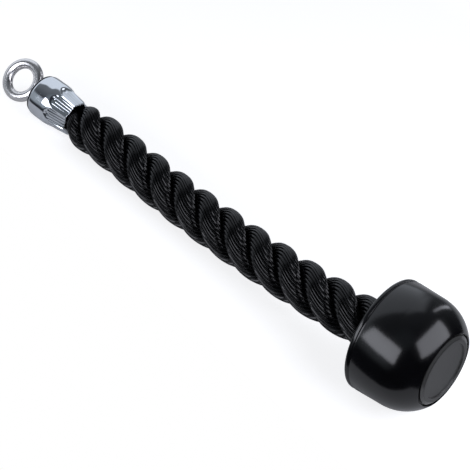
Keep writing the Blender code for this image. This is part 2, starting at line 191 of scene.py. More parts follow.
@dataclass(frozen=True)
class FilamentNylon:
    """Black multifilament nylon, drawn, twisted into yarns and laid as a rope.

    To the eye each yarn is a dark satin thread with soft glints along its run, and the furrow
    beside it is black, from its depth and from painted shade: the colour darkens from each yarn's
    middle towards its furrows. Real filaments are about 0.03 mm thick, too fine to show, so they are
    drawn eight times as coarse. Real yarns are about 1.45 mm wide and are drawn a little coarser.
    """

    # Painted shade: the colour that each yarn darkens to towards its furrows.
    furrow: str = "#010101"
    body: str = "#020203"
    lit: str = "#060608"
    filament_width: float = 0.24 * MM
    filament_length: float = 4.0 * MM
    filament_depth: float = 0.05 * MM
    filament_relief: float = 0.55
    yarn_width: float = 1.70 * MM
    patches_per_yarn: float = 2.3
    patch_length: float = 22.0 * MM
    patch_stops: tuple[float, float] = (0.42, 0.72)
    # Shares of a yarn's half width over which the painted shade sets in.
    furrow_shade_band: tuple[float, float] = (0.22, 0.40)
    roughness: float = 0.14
    roughness_spread: tuple[float, float] = (-0.07, 0.14)
    wear: tuple[float, float] = (0.75, 1.25)
    specular: float = 0.32

    def build(self) -> bpy.types.Material:
        """Makes the material, whose pattern runs on a UV map of (yarn number, metres).

        Returns:
            The material.
        """
        material, tree, shader = start_material("filament_nylon")
        place = add_node(tree, "ShaderNodeUVMap", {"uv_map": YARN_MAP}).outputs["UV"]
        # Long soft patches, where the filaments lie more or less closely.
        along = add_node(tree, "ShaderNodeMapping", {
            "Vector": place,
            "Scale": (self.patches_per_yarn, 1 / self.patch_length, 1.0),
        }).outputs["Vector"]
        patches = add_node(tree, "ShaderNodeTexNoise", {
            "Vector": along, "Scale": 1.0, "Detail": 3.0,
        }).outputs["Fac"]
        shade = add_node(tree, "ShaderNodeValToRGB", {"Fac": patches})
        stops = zip(shade.color_ramp.elements, self.patch_stops, (self.body, self.lit))
        for stop, position, code in stops:
            stop.position = position
            stop.color = linear(code)
        # The filaments, long and narrow.
        fine = add_node(tree, "ShaderNodeMapping", {
            "Vector": place,
            "Scale": (self.yarn_width / self.filament_width, 1 / self.filament_length, 1.0),
        }).outputs["Vector"]
        filaments = add_node(tree, "ShaderNodeTexNoise", {
            "Vector": fine, "Scale": 1.0, "Detail": 2.0,
        }).outputs["Fac"]
        # Painted shade: a yarn's colour darkens from its middle towards the furrow beside it, where
        # shade falls between yarns.
        number = add_node(tree, "ShaderNodeSeparateXYZ", {0: place}).outputs["X"]
        share = add_node(tree, "ShaderNodeMath", {"operation": "FRACT", 0: number}).outputs[0]
        off = add_node(tree, "ShaderNodeMath", {
            "operation": "SUBTRACT", 0: share, 1: 0.5,
        }).outputs[0]
        away = add_node(tree, "ShaderNodeMath", {"operation": "ABSOLUTE", 0: off}).outputs[0]
        painted_shade = add_node(tree, "ShaderNodeMapRange", {
            "Value": away, "From Min": self.furrow_shade_band[0], "From Max": self.furrow_shade_band[1],
        }).outputs["Result"]
        painted_shade_colour = add_node(tree, "ShaderNodeMix", {
            "data_type": "RGBA", "Factor": painted_shade,
            MIX_BASE: shade.outputs["Color"], MIX_OVER: linear(self.furrow),
        }).outputs[MIX_RESULT]
        worn = add_node(tree, "ShaderNodeMath", {
            "operation": "ADD", 0: filaments, 1: patches,
        }).outputs[0]
        dull = add_node(tree, "ShaderNodeMapRange", {
            "Value": worn, "From Min": self.wear[0], "From Max": self.wear[1],
            "To Min": self.roughness + self.roughness_spread[0],
            "To Max": self.roughness + self.roughness_spread[1],
        }).outputs["Result"]
        relief = add_node(tree, "ShaderNodeBump", {
            "Height": filaments, "Strength": self.filament_relief, "Distance": self.filament_depth,
        }).outputs["Normal"]
        fill(tree, shader, {"Base Color": painted_shade_colour, "Roughness": dull, "Normal": relief,
                            "Specular IOR Level": self.specular})
        return material


@dataclass(frozen=True)
class ChromePlate:
    """Bright chrome plate over polished steel.

    To the eye it is a near-mirror with a cool tint, whose reflections bend a little with the waves
    of the steel under it. The hairlines of polishing, about 0.01 mm apart, are drawn coarser, as a
    faint unevenness of the gloss.
    """

    name: str = "chrome_plate"
    colour: str = "#dfe4ea"
    roughness: float = 0.07
    worn_roughness: float = 0.10
    hairline: float = 0.25 * MM
    hairline_stops: tuple[float, float] = (0.45, 0.8)
    wave: float = 5.0 * MM
    wave_depth: float = 0.06 * MM
    wave_relief: float = 0.25

    def build(self) -> bpy.types.Material:
        """Makes the material.

        Returns:
            The material.
        """
        material, tree, shader = start_material(self.name)
        place = add_node(tree, "ShaderNodeTexCoord").outputs["Object"]
        ripple = add_node(tree, "ShaderNodeTexNoise", {
            "Vector": place, "Scale": 1 / self.wave, "Detail": 1.0,
        }).outputs["Fac"]
        hairlines = add_node(tree, "ShaderNodeTexNoise", {
            "Vector": place, "Scale": 1 / self.hairline, "Detail": 2.0,
        }).outputs["Fac"]
        worn = add_node(tree, "ShaderNodeMapRange", {
            "Value": hairlines,
            "From Min": self.hairline_stops[0], "From Max": self.hairline_stops[1],
            "To Min": self.roughness, "To Max": self.roughness + self.worn_roughness,
        }).outputs["Result"]
        waves = add_node(tree, "ShaderNodeBump", {
            "Height": ripple, "Strength": self.wave_relief, "Distance": self.wave_depth,
        }).outputs["Normal"]
        fill(tree, shader, {"Metallic": 1.0, "Base Color": linear(self.colour),
                            "Roughness": worn, "Normal": waves})
        return material


class Chrome(Enum):
    """Chrome over the two kinds of steel.

    The drawn ferrule was polished first. The forged ring was only tumbled, so its close waves and
    pits break every reflection up.
    """

    DRAWN = ChromePlate()
    FORGED = ChromePlate("tumbled_chrome", "#ebe9e9", roughness=0.22,
                         wave=1.1 * MM, wave_depth=0.16 * MM)


@dataclass(frozen=True)
class SeamPaintedShade:
    """Black painted shade for the groove of the rolled seam: a dark line that mirrors nothing."""

    colour: str = "#050505"
    roughness: float = 0.8
    specular: float = 0.1

    def build(self) -> bpy.types.Material:
        """Makes the material.

        Returns:
            The material.
        """
        material, tree, shader = start_material("seam_painted_shade")
        fill(tree, shader, {"Base Color": linear(self.colour), "Roughness": self.roughness,
                            "Specular IOR Level": self.specular})
        return material


@dataclass(frozen=True)
class MouldedRubber:
    """Black rubber from a polished mould.

    To the eye it is glossy with soft-edged reflections, a faint cloudy bloom and a slight
    orange peel.
    """

    body: str = "#020203"
    bloom: str = "#060608"
    bloom_size: float = 18.0 * MM
    bloom_stops: tuple[float, float] = (0.35, 0.75)
    roughness: float = 0.16
    roughness_spread: tuple[float, float] = (-0.03, 0.05)
    peel: float = 1.10 * MM
    peel_depth: float = 0.04 * MM
    peel_relief: float = 0.22

    def build(self) -> bpy.types.Material:
        """Makes the material.

        Returns:
            The material.
        """
        material, tree, shader = start_material("moulded_rubber")
        place = add_node(tree, "ShaderNodeTexCoord").outputs["Object"]
        cloud = add_node(tree, "ShaderNodeTexNoise", {
            "Vector": place, "Scale": 1 / self.bloom_size, "Detail": 3.0,
        }).outputs["Fac"]
        peel = add_node(tree, "ShaderNodeTexNoise", {
            "Vector": place, "Scale": 1 / self.peel, "Detail": 2.0,
        }).outputs["Fac"]
        tint = add_node(tree, "ShaderNodeValToRGB", {"Fac": cloud})
        stops = zip(tint.color_ramp.elements, self.bloom_stops, (self.body, self.bloom))
        for stop, position, code in stops:
            stop.position = position
            stop.color = linear(code)
        dull = add_node(tree, "ShaderNodeMapRange", {
            "Value": cloud,
            "To Min": self.roughness + self.roughness_spread[0],
            "To Max": self.roughness + self.roughness_spread[1],
        }).outputs["Result"]
        relief = add_node(tree, "ShaderNodeBump", {
            "Height": peel, "Strength": self.peel_relief, "Distance": self.peel_depth,
        }).outputs["Normal"]
        fill(tree, shader, {"Base Color": tint.outputs["Color"], "Roughness": dull,
                            "Normal": relief})
        return material


@dataclass(frozen=True)
class SatinPlastic:
    """Dark grey ABS from a spark-eroded mould.

    To the eye it is satin: its fine grain breaks up every reflection. The grain of about 0.1 mm is
    drawn three times as coarse, so that it shows.
    """

    name: str = "satin_plastic"
    colour: str = "#1d1d1c"
    pale: str = "#272726"
    tint_stops: tuple[float, float] = (0.3, 0.8)
    roughness: float = 0.34
    roughness_spread: tuple[float, float] = (-0.05, 0.08)
    grain: float = 0.30 * MM
    pit_depth: float = 0.03 * MM
    pit_relief: float = 0.3

    def build(self) -> bpy.types.Material:
        """Makes the material.

        Returns:
            The material.
        """
        material, tree, shader = start_material(self.name)
        place = add_node(tree, "ShaderNodeTexCoord").outputs["Object"]
        grain = add_node(tree, "ShaderNodeTexNoise", {
            "Vector": place, "Scale": 1 / self.grain, "Detail": 3.0,
        }).outputs["Fac"]
        tint = add_node(tree, "ShaderNodeValToRGB", {"Fac": grain})
        stops = zip(tint.color_ramp.elements, self.tint_stops, (self.colour, self.pale))
        for stop, position, code in stops:
            stop.position = position
            stop.color = linear(code)
        dull = add_node(tree, "ShaderNodeMapRange", {
            "Value": grain,
            "To Min": self.roughness + self.roughness_spread[0],
            "To Max": self.roughness + self.roughness_spread[1],
        }).outputs["Result"]
        pits = add_node(tree, "ShaderNodeBump", {
            "Height": grain, "Strength": self.pit_relief, "Distance": self.pit_depth,
        }).outputs["Normal"]
        fill(tree, shader, {"Base Color": tint.outputs["Color"], "Roughness": dull,
                            "Normal": pits})
        return material


class Plastic(Enum):
    """The end disc's plastic as moulded, and a paler copy: a painted highlight on chamfer and dish
    slope.
    """

    MOULDED = SatinPlastic()
    # Painted highlight: a paler, glossier plastic for the chamfer and the dish's slope.
    PAINTED_HIGHLIGHT = SatinPlastic("plastic_painted_highlight", "#3c3c3b", "#464645", roughness=0.20)


@dataclass(frozen=True)
class ZincSteel:
    """Zinc-plated pressed steel of the hidden washers and sleeve: grey, with a cloudy dull sheen."""

    colour: str = "#b4b7ba"
    roughness: float = 0.36
    roughness_spread: tuple[float, float] = (-0.08, 0.14)
    cloud: float = 3.0 * MM

    def build(self) -> bpy.types.Material:
        """Makes the material.

        Returns:
            The material.
        """
        material, tree, shader = start_material("zinc_steel")
        place = add_node(tree, "ShaderNodeTexCoord").outputs["Object"]
        cloud = add_node(tree, "ShaderNodeTexNoise", {
            "Vector": place, "Scale": 1 / self.cloud, "Detail": 4.0,
        }).outputs["Fac"]
        dull = add_node(tree, "ShaderNodeMapRange", {
            "Value": cloud,
            "To Min": self.roughness + self.roughness_spread[0],
            "To Max": self.roughness + self.roughness_spread[1],
        }).outputs["Result"]
        fill(tree, shader, {"Metallic": 1.0, "Base Color": linear(self.colour),
                            "Roughness": dull})
        return material


@dataclass(frozen=True)
class BackdropPaper:
    """Seamless white paper, matt.

    It shows as white behind the object, as in the photograph, and keeps a faint contact shadow.

    Attributes:
        colour: Colour of the paper.
        roughness: Roughness of the paper.
        shown_white: White that the camera sees on top of the paper's own light, near the object.
        mirrored_white: White that reflections see on top of it.
        sweep: Distances in metres between which the shown white grows to full.
    """

    colour: str = "#c2c2c2"
    roughness: float = 0.9
    shown_white: float = 0.72
    mirrored_white: float = 0.05
    sweep: tuple[float, float] = (0.35, 0.80)

    def build(self) -> bpy.types.Material:
        """Makes the material, to which the camera and reflections add the white of a lit backdrop.

        Returns:
            The material.
        """
        material, tree, shader = start_material("backdrop_paper")
        fill(tree, shader, {"Base Color": linear(self.colour), "Roughness": self.roughness,
                            "Specular IOR Level": 0.0})
        rays = add_node(tree, "ShaderNodeLightPath").outputs
        mirrored = add_node(tree, "ShaderNodeMath", {
            "operation": "MAXIMUM", 0: rays["Is Glossy Ray"], 1: rays["Is Transmission Ray"],
        }).outputs[0]
        mirrored = add_node(tree, "ShaderNodeMath", {
            "operation": "MULTIPLY", 0: mirrored, 1: self.mirrored_white,
        }).outputs[0]
        place = add_node(tree, "ShaderNodeTexCoord").outputs["Object"]
        away = add_node(tree, "ShaderNodeVectorMath", {
            "operation": "LENGTH", 0: place,
        }).outputs["Value"]
        shown = add_node(tree, "ShaderNodeMapRange", {
            "Value": away, "From Min": self.sweep[0], "From Max": self.sweep[1],
            "To Min": self.shown_white, "To Max": 1.0,
        }).outputs["Result"]
        share = add_node(tree, "ShaderNodeMath", {
            "operation": "MULTIPLY_ADD", 0: rays["Is Camera Ray"], 1: shown, 2: mirrored,
        }).outputs[0]
        glow = add_node(tree, "ShaderNodeEmission", {
            "Color": linear(WHITE), "Strength": share,
        }).outputs[0]
        lit = add_node(tree, "ShaderNodeAddShader", {0: shader.outputs[0], 1: glow}).outputs[0]
        fill(tree, tree.nodes["Material Output"], {"Surface": lit})
        return material


@dataclass
class RopeAxis:
    """Axis of the rope, from the ferrule's mouth to the ball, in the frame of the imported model.

    It is worked out in its own frame and then set down so that the ball's end face meets the
    record's end_disc_face.

    Attributes:
        free_length: Length between the ferrule's mouth and the ball's rear face.
        bow_turn: Turn of the bow, which is even over that length.
        ball_cant: Extra rise of the axis at the ball.
        ball_cant_length: Length over which it sets in.
        ferrule_cant: Extra rise of the axis at the ferrule.
        ferrule_swing: Sideways turn of the axis at the ferrule.
        ferrule_cant_length: Length over which both set in.
        ball_length: Length of the ball.
        steps: Number of straight steps of the walk along the axis.
        points: Points of the walk.
        laid: Place of the axis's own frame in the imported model's.
    """

    free_length: float = 231.8 * MM
    bow_turn: float = math.radians(15.3)
    ball_cant: float = math.radians(-2.2)
    ball_cant_length: float = 40.0 * MM
    ferrule_cant: float = math.radians(3.8)
    ferrule_swing: float = math.radians(3.3)
    ferrule_cant_length: float = 49.0 * MM
    ball_length: float = 39.1 * MM
    steps: int = 400
    points: list[Vector] = field(init=False, default_factory=list)
    laid: Matrix = field(init=False, default_factory=Matrix)

    def __post_init__(self) -> None:
        """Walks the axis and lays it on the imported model."""
        step = self.free_length / self.steps
        self.points = [Vector((0.0, 0.0, 0.0))]
        for index in range(self.steps):
            ahead = self.heading((index + 0.5) * step) @ Vector((step, 0.0, 0.0))
            self.points.append(self.points[-1] + ahead)
        face = next(m for m in frame["record"]["mounts"] if m["name"] == "end_disc_face")
        end = self.own_place(self.free_length + self.ball_length)
        rise = math.asin(face["axis"][2]) - math.asin((end.to_3x3() @ Vector((1.0, 0.0, 0.0))).z)
        pitched = Matrix.Rotation(-rise, 4, "Y")
        self.laid = Matrix.Translation(Vector(face["pos_m"]) - pitched @ end.translation) @ pitched

    def heading(self, along: float) -> Matrix:
        """Heading of the axis in its own frame.

        Args:
            along: Distance from the ferrule's mouth.

        Returns:
            Rotation with X along the axis.
        """
        on_rope = min(max(along, 0.0), self.free_length)
        at_ferrule = max(0.0, 1.0 - on_rope / self.ferrule_cant_length)
        at_ball = max(0.0, 1.0 - (self.free_length - on_rope) / self.ball_cant_length) ** 2
        rise = self.bow_turn * (on_rope / self.free_length - 0.5)
        rise += self.ferrule_cant * at_ferrule + self.ball_cant * at_ball
        swing = Matrix.Rotation(self.ferrule_swing * at_ferrule, 4, "Z")
        return swing @ Matrix.Rotation(-rise, 4, "Y")

    def own_place(self, along: float) -> Matrix:
        """Place on the axis in its own frame.

        Args:
            along: Distance from the ferrule's mouth, straight on past either end of the rope.

        Returns:
            Matrix with X along the axis.
        """
        heading = self.heading(along)
        on_rope = min(max(along, 0.0), self.free_length)
        share = on_rope / self.free_length * self.steps
        index = min(int(share), self.steps - 1)
        point = self.points[index].lerp(self.points[index + 1], share - index)
        point = point + heading @ Vector((along - on_rope, 0.0, 0.0))
        return Matrix.Translation(point) @ heading

    def place(self, along: float) -> Matrix:
        """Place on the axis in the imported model's frame.

        Args:
            along: Distance from the ferrule's mouth, negative inside the ferrule.

        Returns:
            Matrix with X along the axis and Y across the plane of bow.
        """
        return self.laid @ self.own_place(along)


def place_piece(name: str, mesh: bpy.types.Mesh, finish: bpy.types.Material,
                body: Body) -> bpy.types.Object:
    """Links a mesh as a piece that rides on a body.

    Args:
        name: Name of the piece.
        mesh: Its mesh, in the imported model's frame.
        finish: Its material.
        body: Body that carries it.

    Returns:
        The piece.
    """
    mesh.materials.append(finish)
    piece = bpy.data.objects.new(name, mesh)
    bpy.context.scene.collection.objects.link(piece)
    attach(piece, body.value)
    return piece


def finish_some(mesh: bpy.types.Mesh, finish: bpy.types.Material, place: Matrix,
                chosen: Callable[[Vector], bool]) -> None:
    """Gives a second finish to the faces whose middle passes a test.

    Args:
        mesh: The mesh, which has its first finish.
        finish: The second finish.
        place: Frame that the test works in.
        chosen: The test.
    """
    mesh.materials.append(finish)
    own = place.inverted()
    for polygon in mesh.polygons:
        if chosen(own @ polygon.center):
            polygon.material_index = 1


def closed_skin(name: str, loops: list[list[Vector]], sharp: float = SHARP_ANGLE) -> bpy.types.Mesh:
    """Mesh of closed loops, each joined to the next and the last to the first.

    Args:
        name: Name of the mesh.
        loops: Points of each loop, as many in each.
        sharp: Angle in degrees above which an edge stays sharp.

    Returns:
        The mesh, shaded smooth.
    """
    shape = bmesh.new()
    rings = [[shape.verts.new(point) for point in loop] for loop in loops]
    count = len(rings[0])
    for ring, following in zip(rings, rings[1:] + rings[:1]):
        for low in range(count):
            high = (low + 1) % count
            shape.faces.new((ring[low], ring[high], following[high], following[low]))
    bmesh.ops.remove_doubles(shape, verts=shape.verts, dist=MERGE_DISTANCE)
    bmesh.ops.recalc_face_normals(shape, faces=shape.faces)
    mesh = bpy.data.meshes.new(name)
    shape.to_mesh(mesh)
    shape.free()
    mesh.shade_smooth()
    mesh.set_sharp_from_angle(angle=math.radians(sharp))
    return mesh


def lathe(name: str, outlines: list[Outline], place: Matrix,
          sharp: float = SHARP_ANGLE) -> bpy.types.Mesh:
    """Mesh turned round the X axis.

    Args:
        name: Name of the mesh.
        outlines: Outline as (along, radius) points at each of the equal angles round the axis.
        place: Where the axis lies.
        sharp: Angle in degrees above which an edge stays sharp.

    Returns:
        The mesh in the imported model's frame.
    """
    columns = []
    for side, outline in enumerate(outlines):
        angle = math.tau * side / len(outlines)
        across = Vector((0.0, math.cos(angle), math.sin(angle)))
        points = [Vector((along, 0.0, 0.0)) + radius * across for along, radius in outline]
        columns.append([place @ point for point in points])
    return closed_skin(name, columns, sharp)


@dataclass
class Ferrule:
    """Drawn steel cup, chrome plated, with eight crimped flats that end in arches.

    Lengths along it are measured from its mouth. Across a flat, off is zero in its middle and one
    on the ridge beside it. Names that end in share are shares of a flat's half width.
    """

    axis: RopeAxis
    # The cup.
    length: float = 30.1 * MM
    radius: float = 13.15 * MM
    mouth_radius: float = 10.8 * MM
    taper_power: int = 6
    wall: float = 1.0 * MM
    top_wall: float = 2.2 * MM
    hole_radius: float = 4.2 * MM
    lip_edge: float = 0.25 * MM
    lip_bulge: float = 0.075 * MM
    crown: float = 0.28 * MM
    rope_gap: float = 0.3 * MM
    # The corner at its top: bevel, rolled seam and round, whose angles are in degrees.
    corner: float = 2.5 * MM
    bevel_width: float = 0.75 * MM
    bevel_depth: float = 0.32 * MM
    seam_start: float = 90.5
    seam_floor: tuple[float, float] = (93.3, 115.7)
    seam_end: float = 118.5
    seam_depth: float = 0.7 * MM
    seam_skin: float = 0.14 * MM
    seam_steps: int = 2
    corner_steps: int = 6
    # The crimped flats, with pressed grooves, ridges between them and a punch mark.
    flats: int = 8
    crimp_turn: float = math.radians(16.8)
    crimp_length: float = 17.8 * MM
    crimp_depth: float = 0.8 * MM
    press_slope: float = 0.35 * MM
    crimp_reach: float = 11.4 * MM
    crimp_arch: float = 3.8 * MM
    crimp_ramp: float = 1.8 * MM
    groove_depth: float = 0.10 * MM
    groove_share: float = 0.07
    groove_at_shares: tuple[float, ...] = (-0.6, -0.2, 0.2, 0.6)
    ridge_height: float = 0.22 * MM
    ridge_share: float = 0.07
    dimple_radius: float = 1.0 * MM
    dimple_depth: float = 0.30 * MM
    columns_per_flat: int = 48
    barrel_steps: int = 60

    @property
    def barrel_end(self) -> float:
        """Where the barrel ends and the corner starts."""
        return self.length - self.corner

    @property
    def corner_radius(self) -> float:
        """Distance of the corner's arc centre from the axis."""
        return self.radius - self.crown - self.bevel_depth - self.corner

    def tapered(self, along: float) -> float:
        """Radius of the cone that runs from the mouth into the barrel, with a soft end.

        Args:
            along: Distance from the mouth.

        Returns:
            The radius.
        """
        share = min(along / self.crimp_length, 1.0)
        soft = share ** self.taper_power * (1.0 - share)
        return blend(self.mouth_radius, self.radius, share + soft)

    def outer(self, along: float, off: float) -> float:
        """Outer radius of the barrel.

        Args:
            along: Distance from the mouth.
            off: Signed place across a flat.

        Returns:
            The radius.
        """
        middle = (self.crimp_length + self.barrel_end) / 2
        from_middle = max(along - middle, 0.0) / (self.barrel_end - middle)
        whole = self.tapered(along) - self.crown * from_middle * from_middle
        whole -= self.bevel_depth * max(0.0, 1.0 - (self.barrel_end - along) / self.bevel_width)
        crimp_end = self.crimp_reach + self.crimp_arch * (1.0 - off * off)
        pressed = 1.0 - ease((along - crimp_end + self.crimp_ramp) / self.crimp_ramp)
        deeper = self.press_slope * (1.0 - along / self.crimp_reach)
        flat = (self.crimp_depth + deeper) * (1.0 - off * off)
        flat += self.groove_depth * sum(math.exp(-(((off - at) / self.groove_share) ** 2))
                                        for at in self.groove_at_shares)
        ridge = self.ridge_height * math.exp(-(((1.0 - abs(off)) / self.ridge_share) ** 2))
        return whole + pressed * (ridge - flat) - self.dimple(along, off)

    def dimple(self, along: float, off: float) -> float:
        """Depth of the round punch mark near the top of a flat.

        Args:
            along: Distance from the mouth.
            off: Signed place across a flat.

        Returns:
            The depth.
        """
        top = self.crimp_reach + self.crimp_arch - self.crimp_ramp - self.dimple_radius
        across = off * math.pi / self.flats * self.radius
        away = math.hypot(along - top, across) / self.dimple_radius
        return self.dimple_depth * max(0.0, 1.0 - away * away)

    def rope_room(self, along: float) -> float:
        """Radius of the room that the ferrule leaves for the rope, at a flat's middle.

        Args:
            along: Distance from the mouth.

        Returns:
            The radius.
        """
        whole = blend(self.mouth_radius, self.radius, ease(along / self.crimp_length))
        crimp_end = self.crimp_reach + self.crimp_arch
        pressed = 1.0 - ease((along - crimp_end + self.crimp_ramp) / self.crimp_ramp)
        return whole - self.crimp_depth * pressed - self.wall - self.rope_gap

    def outline(self, off: float) -> Outline:
        """Outline of the ferrule's wall, over its outside and back through its bore.

        Args:
            off: Signed place across a flat.

        Returns:
            Points as (along the rope, radius).
        """
        lip = self.outer(0.0, off)
        mouth = [(0.0, lip - self.wall), (0.0, lip - self.lip_edge),
                 (-self.lip_bulge, lip - self.lip_bulge)]
        rows = [blend(self.lip_edge, self.barrel_end, step / self.barrel_steps)
                for step in range(self.barrel_steps + 1)]
        rows = sorted(rows + [self.barrel_end - self.bevel_width])
        barrel = [(-along, self.outer(along, off)) for along in rows]
        centre = (-self.barrel_end, self.corner_radius)
        rim = arc(centre, self.corner, 90.0, self.seam_start, 1)[1:]
        seam = arc(centre, self.corner - self.seam_depth, *self.seam_floor, self.seam_steps)
        corner = arc(centre, self.corner, self.seam_end, 180.0, self.corner_steps)
        top = [(-self.length, self.hole_radius), (-self.length + self.top_wall, self.hole_radius)]
        bore = [(-self.barrel_end, self.radius - self.wall),
                (-self.crimp_length, self.radius - self.wall)]
        return mouth + barrel + rim + seam + corner + top + bore

    def in_seam(self, point: Vector) -> bool:
        """Tells whether a point of the surface lies in the rolled seam.

        Args:
            point: The point in the ferrule's own frame.

        Returns:
            True in the seam.
        """
        out = math.hypot(point.y, point.z) - self.corner_radius
        past = -point.x - self.barrel_end
        return min(out, past) > 0.0 and math.hypot(out, past) < self.corner - self.seam_skin

    def build(self, finish: bpy.types.Material, seam_shade: bpy.types.Material) -> Pieces:
        """Makes the ferrule in place of its CAD node.

        Args:
            finish: Finish of the ferrule.
            seam_shade: Finish of its seam, black painted shade.

        Returns:
            Its one piece.
        """
        columns = self.flats * self.columns_per_flat
        offs = [2.0 * (column / self.columns_per_flat % 1.0) - 1.0 for column in range(columns)]
        place = self.axis.place(0.0) @ Matrix.Rotation(self.crimp_turn, 4, "X")
        mesh = lathe("ferrule_dressed", [self.outline(off) for off in offs], place)
        piece = place_piece("ferrule_dressed", mesh, finish, Body.HANDLE)
        # The seam's groove gets black painted shade, which stands for the shade in it.
        finish_some(mesh, seam_shade, place, self.in_seam)
        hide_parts("ferrule")
        return [piece]


@dataclass
class SwivelEye:
    """Forged ring on a collar, whose shank turns in the ferrule's top."""

    axis: RopeAxis
    ferrule: Ferrule
    turn: float = math.radians(48.7)
    # The ring.
    diameter: float = 26.9 * MM
    bar_width: float = 6.1 * MM
    bar_thickness: float = 6.0 * MM
    ring_sides: int = 128
    bar_sides: int = 40
    # The stem: tip, neck with its fillet, collar and shank.
    tip_length: float = 1.0 * MM
    tip_radius: float = 2.4 * MM
    neck_length: float = 0.8 * MM
    neck_radius: float = 2.82 * MM
    fillet: float = 1.6 * MM
    fillet_steps: int = 6
    collar_radius: float = 5.3 * MM
    collar_thickness: float = 1.0 * MM
    collar_edge: float = 0.3 * MM
    shank_radius: float = 3.9 * MM
    gap: float = 0.3 * MM
    stem_sides: int = 64

    @property
    def collar_from(self) -> float:
        """Distance from the ferrule's mouth to the collar's underside."""
        return self.ferrule.length + self.gap

    @property
    def centre(self) -> float:
        """Distance from the ferrule's mouth to the ring's centre."""
        return self.collar_from + self.collar_thickness + self.neck_length + self.diameter / 2

    @property
    def place(self) -> Matrix:
        """Place of the swivel, with X on its axis and the ring in the XY plane."""
        return self.axis.place(0.0) @ Matrix.Rotation(self.turn, 4, "X")

    def ring(self) -> bpy.types.Mesh:
        """Makes the mesh of the ring.

        Returns:
            The mesh.
        """
        place = self.place @ Matrix.Translation((-self.centre, 0.0, 0.0))
        middle = (self.diameter - self.bar_width) / 2
        loops = []
        for side in range(self.ring_sides):
            round_ring = math.tau * side / self.ring_sides
            out = Vector((math.cos(round_ring), math.sin(round_ring), 0.0))
            loop = []
            for step in range(self.bar_sides):
                angle = math.tau * step / self.bar_sides
                reach = middle + self.bar_width / 2 * math.cos(angle)
                up = Vector((0.0, 0.0, self.bar_thickness / 2 * math.sin(angle)))
                loop.append(place @ (reach * out + up))
            loops.append(loop)
        return closed_skin("swivel_ring", loops)

    def stem(self) -> bpy.types.Mesh:
        """Makes the mesh of the neck, collar and shank, with a smooth fillet up into the ring.

        Returns:
            The mesh.
        """
        top = -self.collar_from - self.collar_thickness
        under = -self.collar_from
        inner = -self.ferrule.length + self.ferrule.top_wall
        neck = top - self.fillet
        outline = [(neck - self.bar_width / 2, 0.0), (neck - self.tip_length, self.tip_radius)]
        outline += arc((neck, self.neck_radius + self.fillet), self.fillet, 270.0, 360.0,
                       self.fillet_steps)
        outline += [(top, self.collar_radius - self.collar_edge),
                    (top + self.collar_edge, self.collar_radius),
                    (under - self.collar_edge, self.collar_radius),
                    (under, self.collar_radius - self.collar_edge),
                    (under, self.shank_radius), (inner, self.shank_radius), (inner, 0.0)]
        return lathe("swivel_stem", [outline] * self.stem_sides, self.place)

    def build(self, finish: bpy.types.Material) -> Pieces:
        """Makes the eye in place of its CAD node.

        Args:
            finish: Finish of the eye.

        Returns:
            The ring and the stem.
        """
        ring = place_piece("swivel_ring", self.ring(), finish, Body.EYE)
        stem = place_piece("swivel_stem", self.stem(), finish, Body.EYE)
        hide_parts("swivel_eye")
        return [ring, stem]


